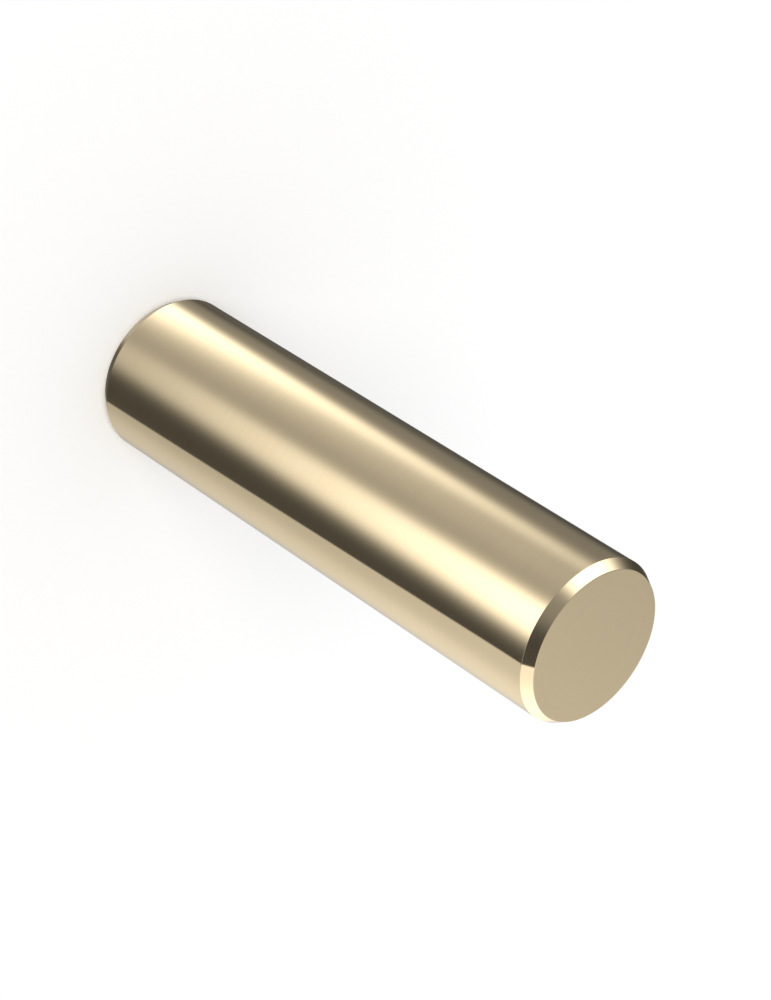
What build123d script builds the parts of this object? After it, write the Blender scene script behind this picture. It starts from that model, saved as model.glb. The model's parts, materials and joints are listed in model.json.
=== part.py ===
from build123d import *
import math
import os

os.makedirs("parts", exist_ok=True)

# Driving dimensions, in millimetres and degrees.
# The pin stands on one end: its axis is +Z, and the origin is the middle of the lower end face.
body_diameter = 12.0      # the running surface that the bearing turns on
pin_length = 45.0         # over both end faces
lead_length = 0.8         # lead-in chamfer at each end, measured along the axis
lead_angle = 30.0         # lead-in chamfer, measured from the axis
edge_radius = 0.04        # small round left on every turned edge by deburring

# Worked out from them.
body_radius = body_diameter / 2
lead_depth = lead_length * math.tan(math.radians(lead_angle))
face_radius = body_radius - lead_depth

# The pin is turned from one bar: half of its outline, spun once round the axis.
with BuildPart() as bearing_pin:
    with BuildSketch(Plane.XZ):
        with BuildLine():
            Polyline(
                (0, 0),
                (face_radius, 0),
                (body_radius, lead_length),
                (body_radius, pin_length - lead_length),
                (face_radius, pin_length),
                (0, pin_length),
                close=True,
            )
        make_face()
    revolve(axis=Axis.Z)
    # Both edges of both lead-ins: where each meets its end face, and where it meets the body.
    turned_edges = bearing_pin.edges().filter_by(GeomType.CIRCLE)
    fillet(turned_edges, radius=edge_radius)

bearing_pin.part.label = "bearing_pin"
export_step(bearing_pin.part, "parts/bearing_pin.step")

print("body diameter", body_diameter, "length", pin_length, "end face diameter", round(2 * face_radius, 3))
print("volume in cubic millimetres", round(bearing_pin.part.volume, 2))
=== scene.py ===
import json
import math
import bpy
import numpy as np
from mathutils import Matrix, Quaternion, Vector


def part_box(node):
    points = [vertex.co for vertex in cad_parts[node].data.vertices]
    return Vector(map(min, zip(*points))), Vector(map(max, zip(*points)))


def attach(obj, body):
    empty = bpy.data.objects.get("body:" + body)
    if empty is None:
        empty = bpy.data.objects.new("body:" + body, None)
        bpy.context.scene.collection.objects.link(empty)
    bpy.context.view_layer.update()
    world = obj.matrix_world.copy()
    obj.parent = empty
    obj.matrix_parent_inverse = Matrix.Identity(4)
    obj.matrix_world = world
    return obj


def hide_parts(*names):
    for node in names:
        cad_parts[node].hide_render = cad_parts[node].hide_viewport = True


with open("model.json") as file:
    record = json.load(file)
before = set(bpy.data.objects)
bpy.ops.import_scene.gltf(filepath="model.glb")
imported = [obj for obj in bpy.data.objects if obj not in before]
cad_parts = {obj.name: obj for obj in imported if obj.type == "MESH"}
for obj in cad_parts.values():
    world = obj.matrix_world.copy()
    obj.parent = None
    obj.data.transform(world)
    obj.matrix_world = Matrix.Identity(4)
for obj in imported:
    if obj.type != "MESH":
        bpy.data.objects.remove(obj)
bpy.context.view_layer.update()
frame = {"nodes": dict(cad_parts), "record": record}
print("frame loaded:", sorted(frame["nodes"]))

mm = 0.001
micron = 1e-6
white = (1.0, 1.0, 1.0, 1.0)
scene = bpy.context.scene


# Frame: the sizes that the pin and its light are worked out from

def pinSizes():
    low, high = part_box("bearing_pin")
    running = next(m for m in frame["record"]["mounts"] if m["name"] == "running_surface")
    length = high.z - low.z
    return {
        "radius": running["dims"]["r_mm"] * mm,
        "length": length,
        "lead": (length - running["dims"]["length_mm"] * mm) / 2,   # along the axis, at each end
        "leadAngle": math.radians(30),                              # from the axis
    }


size = pinSizes()


# Mesh helpers

def meshObject(name, points, faces, smooth=True):
    mesh = bpy.data.meshes.new(name)
    mesh.from_pydata(points.tolist(), [], faces)
    mesh.polygons.foreach_set("use_smooth", [smooth] * len(mesh.polygons))
    mesh.update()
    piece = bpy.data.objects.new(name, mesh)
    scene.collection.objects.link(piece)
    return piece


def gridQuads(rows, columns, closed):
    # Corner (i, j) has number i * columns + j, and each quad joins (i, j), (i, j + 1), (i + 1, j + 1) and
    # (i + 1, j). A closed grid's last column is joined to its first.
    i, j = np.meshgrid(np.arange(rows - 1), np.arange(columns if closed else columns - 1), indexing="ij")
    row, nextRow = i * columns, (i + 1) * columns
    nextJ = (j + 1) % columns
    return np.stack([row + j, row + nextJ, nextRow + nextJ, nextRow + j], -1).reshape(-1, 4)


# Node helpers

def setInputs(tree, node, inputs):
    # Another node's socket is linked, and anything else is set as a plain value.
    for name, value in inputs.items():
        if isinstance(value, bpy.types.NodeSocket):
            tree.links.new(value, node.inputs[name])
        else:
            node.inputs[name].default_value = value


def addNode(tree, kind, inputs=None, **settings):
    # Inputs go by name or by number. The new node's outputs come back.
    node = tree.nodes.new(kind)
    for name, value in settings.items():
        setattr(node, name, value)
    setInputs(tree, node, inputs or {})
    return node.outputs


def calculate(tree, operation, *values):
    return addNode(tree, "ShaderNodeMath", dict(enumerate(values)), operation=operation)[0]


def newMaterial(name):
    material = bpy.data.materials.new(name)
    material.use_nodes = True
    return material


# Brass: its colour, its tool marks, and its finish on the three kinds of surface

brass = {
    "color": (0.82, 0.675, 0.44, 1.0),
    "glancingTint": (1.0, 0.975, 0.925, 1.0),   # it keeps some of its colour at flat angles
    # The marks' scale is per pitch and the cloud's per metre, and share is each one's part of the swing
    "marks": {"scale": 1.0, "detail": 3.0, "roughness": 0.6, "share": 0.6},
    "cloud": {"scale": 170.0, "detail": 2.0, "roughness": 0.5, "share": 0.4},
    "noiseMiddle": 0.5,
}
finishes = {
    "groundBrass": {
        "roughness": 0.06,
        "roughnessSpread": 0.05,
        "toneSpread": 0.14,
        "pitch": 0.11 * mm,
        "markLength": 5.0 * mm,    # round the pin
        "depth": 0.50 * micron,
        "acrossFace": 0.0,         # marks follow the height alone
    },
    "polishedBrass": {
        "roughness": 0.06,
        "roughnessSpread": 0.03,
        "toneSpread": 0.08,
        "pitch": 0.09 * mm,
        "markLength": 6.0 * mm,
        "depth": 0.20 * micron,
        "acrossFace": 0.0,
    },
    "facedBrass": {
        "roughness": 0.20,
        "roughnessSpread": 0.08,
        "toneSpread": 0.10,
        "pitch": 0.16 * mm,
        "markLength": 9.0 * mm,
        "depth": 1.00 * micron,
        "acrossFace": 1.0,         # marks follow the radius too, as rings
    },
}


def noise(tree, coordinates, look):
    return addNode(tree, "ShaderNodeTexNoise", {
        "Vector": coordinates,
        "Scale": look["scale"],
        "Detail": look["detail"],
        "Roughness": look["roughness"],
    })["Fac"]


def toolMarksGroup():
    # Fine marks that run round the axis: noise of (x / length, y / length, across / pitch), where across is
    # the height, plus the distance from the axis on a faced end. With a coarser cloud mixed in, they swing
    # tone and roughness about their middle values.
    tree = bpy.data.node_groups.new("toolMarks", "ShaderNodeTree")
    sockets = tree.interface
    sockets.new_socket("Coordinates", in_out="INPUT", socket_type="NodeSocketVector")
    for name in ("Pitch", "Mark Length", "Across Face", "Tone Spread", "Roughness", "Roughness Spread"):
        sockets.new_socket(name, in_out="INPUT", socket_type="NodeSocketFloat")
    sockets.new_socket("Color", in_out="INPUT", socket_type="NodeSocketColor")
    sockets.new_socket("Color", in_out="OUTPUT", socket_type="NodeSocketColor")
    sockets.new_socket("Roughness", in_out="OUTPUT", socket_type="NodeSocketFloat")
    sockets.new_socket("Height", in_out="OUTPUT", socket_type="NodeSocketFloat")
    given = tree.nodes.new("NodeGroupInput").outputs

    place = addNode(tree, "ShaderNodeSeparateXYZ", {0: given["Coordinates"]})
    flat = addNode(tree, "ShaderNodeCombineXYZ", {"X": place["X"], "Y": place["Y"], "Z": 0.0})[0]
    outward = addNode(tree, "ShaderNodeVectorMath", {0: flat}, operation="LENGTH")["Value"]
    across = calculate(tree, "MULTIPLY_ADD", outward, given["Across Face"], place["Z"])
    stretched = addNode(tree, "ShaderNodeCombineXYZ", {
        "X": calculate(tree, "DIVIDE", place["X"], given["Mark Length"]),
        "Y": calculate(tree, "DIVIDE", place["Y"], given["Mark Length"]),
        "Z": calculate(tree, "DIVIDE", across, given["Pitch"]),
    })[0]

    marks = noise(tree, stretched, brass["marks"])
    cloud = noise(tree, given["Coordinates"], brass["cloud"])
    cloudShare = calculate(tree, "MULTIPLY", cloud, brass["cloud"]["share"])
    both = calculate(tree, "MULTIPLY_ADD", marks, brass["marks"]["share"], cloudShare)
    swing = calculate(tree, "SUBTRACT", both, brass["noiseMiddle"])
    tone = calculate(tree, "MULTIPLY_ADD", swing, given["Tone Spread"], 1.0)
    color = addNode(tree, "ShaderNodeVectorMath", {
        0: given["Color"],
        "Scale": tone,
    }, operation="SCALE")[0]
    roughness = calculate(tree, "MULTIPLY_ADD", swing, given["Roughness Spread"], given["Roughness"])
    result = tree.nodes.new("NodeGroupOutput")
    setInputs(tree, result, {"Color": color, "Roughness": roughness, "Height": marks})
    return tree


toolMarks = toolMarksGroup()


def brassMaterial(name, finish):
    material = newMaterial(name)
    tree = material.node_tree
    marks = addNode(tree, "ShaderNodeGroup", {
        "Coordinates": addNode(tree, "ShaderNodeTexCoord")["Object"],
        "Color": brass["color"],
        "Pitch": finish["pitch"],
        "Mark Length": finish["markLength"],
        "Across Face": finish["acrossFace"],
        "Tone Spread": finish["toneSpread"],
        "Roughness": finish["roughness"],
        "Roughness Spread": finish["roughnessSpread"],
    }, node_tree=toolMarks)
    bump = addNode(tree, "ShaderNodeBump", {
        "Height": marks["Height"],
        "Strength": 1.0,
        "Distance": finish["depth"],
    })
    setInputs(tree, tree.nodes["Principled BSDF"], {
        "Base Color": marks["Color"],
        "Metallic": 1.0,
        "Roughness": marks["Roughness"],
        "Specular Tint": brass["glancingTint"],
        "Normal": bump["Normal"],
    })
    return material


# The pin: one turned outline, spun round its axis

pin = {
    "edgeRound": 0.04 * mm,   # left by deburring, on every turned edge
    "facedTo": 0.01 * mm,     # height from each end at which facing gives way to the lead-in's polish
    "sides": 288,
    "roundSteps": 7,          # points on each edge's arc
    "faceRings": 18,
    "leadRings": 9,
    "bodyRings": 48,
}


def between(start, end, count):
    # Points of a straight side, closer together towards its ends: point i is at the share
    # (1 - cos(pi * i / (count + 1))) / 2 of the way.
    share = (1 - np.cos(math.pi * np.arange(1, count + 1) / (count + 1))) / 2
    return start + (end - start) * share[:, None]


def pinOutline():
    # Corners of the half outline as (radius, height), from the lower face's middle to the upper's. Each
    # side's outward normal is its direction turned a quarter to the right. At each corner the arc's middle
    # is the corner less round * (n1 + n2) / (1 + n1 . n2), and its points turn evenly from normal n1 to n2.
    r, top, lead = size["radius"], size["length"], size["lead"]
    faceRadius = r - lead * math.tan(size["leadAngle"])
    corners = np.array([
        (0, 0), (faceRadius, 0), (r, lead),
        (r, top - lead), (faceRadius, top), (0, top),
    ])
    along = np.diff(corners, axis=0)
    along /= np.linalg.norm(along, axis=1)[:, None]
    normals = np.stack([along[:, 1], -along[:, 0]], -1)
    before, after = normals[:-1], normals[1:]
    inward = (before + after) / (1 + (before * after).sum(1))[:, None]
    middles = corners[1:-1] - pin["edgeRound"] * inward
    angles = np.arctan2(normals[:, 1], normals[:, 0])
    turned = angles[:-1, None] + np.diff(angles)[:, None] * np.linspace(0, 1, pin["roundSteps"])
    arcs = middles[:, None] + pin["edgeRound"] * np.stack([np.cos(turned), np.sin(turned)], -1)

    stops = [corners[0], *arcs[:, [0, -1]].reshape(-1, 2), corners[-1]]
    rings = [pin["faceRings"], pin["leadRings"], pin["bodyRings"], pin["leadRings"], pin["faceRings"]]
    stretches = zip(stops[::2], stops[1::2], rings)
    straights = [between(start, end, count) for start, end, count in stretches]
    outline = [straights[0]]
    for arc, straight in zip(arcs, straights[1:]):
        outline += [arc, straight]
    return np.concatenate(outline)


def layFinishes(mesh):
    # The running surface is ground, the lead-ins are polished and the end faces are faced on the lathe.
    for name, finish in finishes.items():
        mesh.materials.append(brassMaterial(name, finish))
    ground, polished, faced = range(len(finishes))
    middles = np.zeros(len(mesh.polygons) * 3)
    mesh.polygons.foreach_get("center", middles)
    height = middles.reshape(-1, 3)[:, 2]
    fromEnd = np.minimum(height, size["length"] - height)
    finishOf = np.where(fromEnd > pin["facedTo"], polished, faced)
    finishOf[fromEnd > size["lead"]] = ground
    mesh.polygons.foreach_set("material_index", finishOf.astype(np.int32))
    mesh.update()


def makePin():
    # Point (ring, side) is (radius * cos(a), radius * sin(a), height), with a = 2 * pi * side / sides.
    outline = pinOutline()
    radius, height = outline[:, :1], outline[:, 1:]
    sides, rings = pin["sides"], len(outline)
    a = 2 * math.pi * np.arange(sides) / sides
    spun = np.stack([radius * np.cos(a), radius * np.sin(a), np.repeat(height, sides, axis=1)], -1)
    faceMiddles = [(0, 0, 0), (0, 0, size["length"])]
    points = np.concatenate([spun.reshape(-1, 3), faceMiddles])

    # Quads join the rings, and a fan to the middle of each face closes the first ring and the last.
    side = np.arange(sides)
    nextSide = (side + 1) % sides
    lastRing = (rings - 1) * sides
    lowerMiddle = np.full(sides, rings * sides)
    upperMiddle = lowerMiddle + 1
    quads = gridQuads(rings, sides, closed=True)
    lowerFan = np.stack([lowerMiddle, nextSide, side], -1)
    upperFan = np.stack([upperMiddle, lastRing + side, lastRing + nextSide], -1)
    piece = meshObject("pin", points, quads.tolist() + lowerFan.tolist() + upperFan.tolist())
    layFinishes(piece.data)
    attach(piece, "root")
    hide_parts("bearing_pin")


# Camera: where the photograph was taken from, in the pin's frame

cameraView = {
    "place": (0.0, -160.555 * mm, 149.665 * mm),
    "aim": (-0.684 * mm, 0.0, 24.022 * mm),
    "roll": math.radians(122.51),   # about its sight line, so that the pin's top points down to the right
    "lens": 106.33,
    "sensor": 36.0,                 # along the picture's longer side
    "clip": (0.01, 20.0),
}


def makeCamera():
    data = bpy.data.cameras.new("camera")
    data.lens = cameraView["lens"]
    data.sensor_width = cameraView["sensor"]
    data.clip_start, data.clip_end = cameraView["clip"]
    camera = bpy.data.objects.new("camera", data)
    scene.collection.objects.link(camera)
    sight = Vector(cameraView["aim"]) - Vector(cameraView["place"])
    roll = Quaternion((0, 0, 1), cameraView["roll"])
    camera.location = cameraView["place"]
    camera.rotation_mode = "QUATERNION"
    camera.rotation_quaternion = sight.to_track_quat("-Z", "Y") @ roll
    scene.camera = camera


# Floor, sky and sun: matt surfaces are lit at a plain level, and the eye sees floor and sky as white

floor = {"halfSize": 3.0, "color": (0.9, 0.9, 0.9, 1.0), "lift": 0.15}
sky = {"level": 0.75}
sun = {"elevation": 58.0, "softness": 24.0, "strength": 0.8}


def seenDirectly(tree):
    # 1 for what the camera sees, and for what gloss or glass shows it, and 0 for light on matt surfaces.
    path = addNode(tree, "ShaderNodeLightPath")
    mirrored = calculate(tree, "MAXIMUM", path["Is Glossy Ray"], path["Is Transmission Ray"])
    return calculate(tree, "MAXIMUM", path["Is Camera Ray"], mirrored)


def makeFloor():
    half = floor["halfSize"]
    corners = np.array([(-half, -half, 0), (half, -half, 0), (half, half, 0), (-half, half, 0)])
    piece = meshObject("floor", corners, [(0, 1, 2, 3)], smooth=False)
    material = newMaterial("paleFloor")
    tree = material.node_tree
    setInputs(tree, tree.nodes["Principled BSDF"], {
        "Base Color": floor["color"],
        "Roughness": 1.0,
        "Specular IOR Level": 0.0,
        "Emission Color": white,
        "Emission Strength": calculate(tree, "MULTIPLY", seenDirectly(tree), floor["lift"]),
    })
    piece.data.materials.append(material)
    piece.visible_glossy = False   # the pin mirrors the dome's cards instead


def makeSky():
    world = bpy.data.worlds.new("sky")
    scene.world = world
    world.use_nodes = True
    tree = world.node_tree
    strength = addNode(tree, "ShaderNodeMapRange", {
        "Value": seenDirectly(tree),
        "To Min": sky["level"],
        "To Max": 1.0,
    })[0]
    setInputs(tree, tree.nodes["Background"], {"Color": white, "Strength": strength})


def makeSun():
    # Above the camera, so that the shadow falls behind the pin.
    data = bpy.data.lights.new("softSun", "SUN")
    data.angle = math.radians(sun["softness"])
    data.energy = sun["strength"]
    light = bpy.data.objects.new("softSun", data)
    scene.collection.objects.link(light)
    elevation = math.radians(sun["elevation"])
    towards = Vector((0.0, -math.cos(elevation), math.sin(elevation)))
    light.rotation_euler = (-towards).to_track_quat("-Z", "Y").to_euler()
    light.visible_glossy = False


# Light dome: pale and dark cards all round the pin and far from it, which only its polish mirrors.
# Directions are in degrees: azimuth from the camera's side towards +X, and elevation up from the floor.
# A card runs from one azimuth to another, its two edges are soft by so many degrees, and level 1 is plain
# white. What changes with the elevation has one value for each of its zone's elevations.

dome = {
    "radius": 6.0,
    "columns": 720,
    "rows": 360,
    "zenith": 0.60,
    "underToSide": (-54.0, -47.0),   # elevations between which the higher zone takes over
    "sideToRoof": (6.0, 11.0),
    "roofToZenith": (40.0, 75.0),
    "leadInSeen": 104.0,             # how far round, to each side of the camera, the upper lead-in shows
    "pathPoints": 105,
}
# Under the pin's foot, for the lower lead-in
underZone = {
    "dark": 0.12,
    "cards": {"tan": {"from": -178.0, "to": -20.0, "soft": (10.0, 10.0), "level": 0.42}},
}
# What the pin's side mirrors
sideZone = {
    "dark": 0.075,
    "elevations": (-44.0, -39.0, -34.0, -20.0),
    "cards": {
        "rim": {"from": -184.0, "to": -166.5, "soft": (6.0, 3.5), "level": 0.23},
        "hem": {"from": -160.0, "to": -140.0, "soft": (5.0, 5.0), "level": (0.05, 0.03, 0.0, 0.0)},
        "shade": {
            "from": (-126.0, -134.0, -142.0, -142.0),
            "to": -100.0,
            "soft": (10.0, 10.0),
            "level": (0.25, 0.195, 0.17, 0.17),
        },
        "tan": {"from": -100.0, "to": 33.5, "soft": (10.0, 12.0), "level": (0.37, 0.345, 0.35, 0.34)},
        "farStreak": {
            "from": (-95.5, -93.0, -92.0, -92.0),
            "to": (-61.0, -71.5, -74.5, -74.5),
            "soft": (8.5, (19.0, 14.0, 11.0, 11.0)),
            "level": (1.87, 1.26, 0.49, 0.60),
        },
        "afterglow": {
            "from": -64.0,
            "to": -36.0,
            "soft": (8.0, 14.0),
            "level": (0.17, 0.17, 0.13, 0.13),
        },
        "nearStreak": {
            "from": (-3.5, -8.5, -9.8, -9.8),
            "to": (33.0, 34.0, 36.3, 36.3),
            "soft": (9.0, 12.5),
            "level": (0.17, 0.82, 1.58, 1.50),
        },
        "pale": {
            "from": (90.6, 80.4, 72.1, 72.1),   # its hard edge leans over towards the floor
            "to": 176.0,
            "soft": (0.5, 8.0),
            "level": (0.41, 0.52, 0.66, 0.76),
        },
        "palest": {
            "from": 104.0,
            "to": 151.0,
            "soft": (14.0, 11.0),
            "level": (0.19, 0.22, 0.25, 0.45),
        },
    },
}
# A strip that follows what the upper lead-in mirrors
stripZone = {
    "dark": 0.06,
    "cards": {
        "grey": {"from": -40.0, "to": 12.0, "soft": (12.0, 13.0), "level": 0.25},
        "softBox": {"from": -107.0, "to": -42.5, "soft": (14.0, 11.0), "level": 2.35},
        "pale": {"from": 67.0, "to": 170.0, "soft": (0.5, 14.0), "level": 1.15},
        "palest": {"from": 100.0, "to": 150.0, "soft": (18.0, 20.0), "level": 0.60},
    },
    # Degrees to each side of the path: how far it is full, and where it is gone at the given azimuths
    "full": 0.8,
    "azimuths": (-165.0, -140.0, -120.0, -98.0, 95.0, 120.0, 140.0, 165.0),
    "gone": (5.0, 9.0, 9.0, 2.0, 2.0, 9.0, 9.0, 5.0),
}
# What the upper face mirrors
roofZone = {
    "dark": 0.39,
    "cards": {"pale": {"from": 60.0, "to": 180.0, "soft": (20.0, 8.0), "level": 0.42}},
}


def step(x, edge, soft):
    # Rises from 0 to 1 about the edge: (1 + tanh((x - edge) / soft)) / 2.
    return 0.5 * (1 + np.tanh((x - edge) / soft))


def rise(x, start, end):
    # 0 up to the start, 1 from the end on, and 3 s^2 - 2 s^3 of the share s between them.
    share = np.clip((x - start) / (end - start), 0, 1)
    return share * share * (3 - 2 * share)


def mix(first, second, share):
    return first + (second - first) * share


def byElevation(zone, value, elevation):
    # One value for every elevation, or straight lines between those given at the zone's elevations.
    return value if np.isscalar(value) else np.interp(elevation, zone["elevations"], value)


def zoneLight(zone, azimuth, elevation):
    # The dark level, plus level * (step at the first edge - step at the last) for each card. Each is laid
    # once more a turn before and after, for a card that passes half a turn.
    light = np.full(azimuth.shape, zone["dark"])
    for card in zone["cards"].values():
        first, last, level = (byElevation(zone, card[key], elevation) for key in ("from", "to", "level"))
        softFirst, softLast = (byElevation(zone, soft, elevation) for soft in card["soft"])
        for turn in (-360, 0, 360):
            on = step(azimuth + turn, first, softFirst) - step(azimuth + turn, last, softLast)
            light = light + level * on
    return light


def leadInPath():
    # Azimuth and elevation of what the middle of the upper lead-in mirrors. Sight line d and outward
    # normal n give the direction m = d - 2 (d . n) n, and from its place p the ray meets the dome at
    # p + t m, as far from the origin as the dome's radius.
    turn = np.radians(np.linspace(-dome["leadInSeen"], dome["leadInSeen"], dome["pathPoints"]))
    angle = size["leadAngle"]
    outward = np.stack([np.sin(turn), -np.cos(turn)], -1)
    below = size["lead"] / 2
    radius = size["radius"] - below * math.tan(angle)
    place = np.column_stack([radius * outward, np.full(len(turn), size["length"] - below)])
    normal = np.column_stack([math.cos(angle) * outward, np.full(len(turn), math.sin(angle))])
    sight = place - np.array(cameraView["place"])
    sight /= np.linalg.norm(sight, axis=1)[:, None]
    mirrored = sight - 2 * (sight * normal).sum(1)[:, None] * normal
    along = (place * mirrored).sum(1)
    t = -along + np.sqrt(along**2 + dome["radius"]**2 - (place**2).sum(1))
    met = (place + t[:, None] * mirrored) / dome["radius"]
    return np.degrees(np.arctan2(met[:, 0], -met[:, 1])), np.degrees(np.arcsin(met[:, 2]))


def domeLight(azimuth, elevation):
    # Each zone takes over from the one below it between two elevations. The strip lies over them along
    # the lead-in's path, which keeps its last elevation past the part that shows.
    light = zoneLight(underZone, azimuth, elevation)
    light = mix(light, zoneLight(sideZone, azimuth, elevation), rise(elevation, *dome["underToSide"]))
    light = mix(light, zoneLight(roofZone, azimuth, elevation), rise(elevation, *dome["sideToRoof"]))
    light = mix(light, dome["zenith"], rise(elevation, *dome["roofToZenith"]))
    fromPath = np.abs(elevation - np.interp(azimuth, *leadInPath()))
    gone = np.interp(azimuth, stripZone["azimuths"], stripZone["gone"])
    strip = zoneLight(stripZone, azimuth, elevation)
    return mix(strip, light, rise(fromPath, stripZone["full"], gone))


def cardsMaterial():
    # Shines at the level that each point of the dome carries.
    material = newMaterial("lightCards")
    material.cycles.emission_sampling = "NONE"
    tree = material.node_tree
    tree.nodes.remove(tree.nodes["Principled BSDF"])
    level = addNode(tree, "ShaderNodeAttribute", attribute_name="glow")["Fac"]
    shine = addNode(tree, "ShaderNodeEmission", {"Color": white, "Strength": level})[0]
    setInputs(tree, tree.nodes["Material Output"], {"Surface": shine})
    return material


def makeDome():
    # Point (row, column) is radius * (cos e sin a, -cos e cos a, sin e), with elevation e and azimuth a.
    elevations = np.linspace(-90, 90, dome["rows"] + 1)
    azimuths = np.linspace(-180, 180, dome["columns"] + 1)
    elevation, azimuth = np.meshgrid(elevations, azimuths, indexing="ij")
    e, a = np.radians(elevation), np.radians(azimuth)
    points = dome["radius"] * np.stack([np.cos(e) * np.sin(a), -np.cos(e) * np.cos(a), np.sin(e)], -1)
    quads = gridQuads(*azimuth.shape, closed=False)
    piece = meshObject("lightDome", points.reshape(-1, 3), quads.tolist())
    glow = piece.data.attributes.new("glow", "FLOAT", "POINT")
    glow.data.foreach_set("value", domeLight(azimuth, elevation).astype(np.float32).ravel())
    piece.data.materials.append(cardsMaterial())

    # Nothing but a mirrored ray sees it, so it lights and shades nothing else.
    piece.visible_camera = False
    piece.visible_diffuse = False
    piece.visible_transmission = False
    piece.visible_volume_scatter = False
    piece.visible_shadow = False


scene.view_settings.view_transform = "Standard"
makeCamera()
makeFloor()
makeSky()
makeSun()
makeDome()
print("studio ready")
makePin()
print("pin ready")
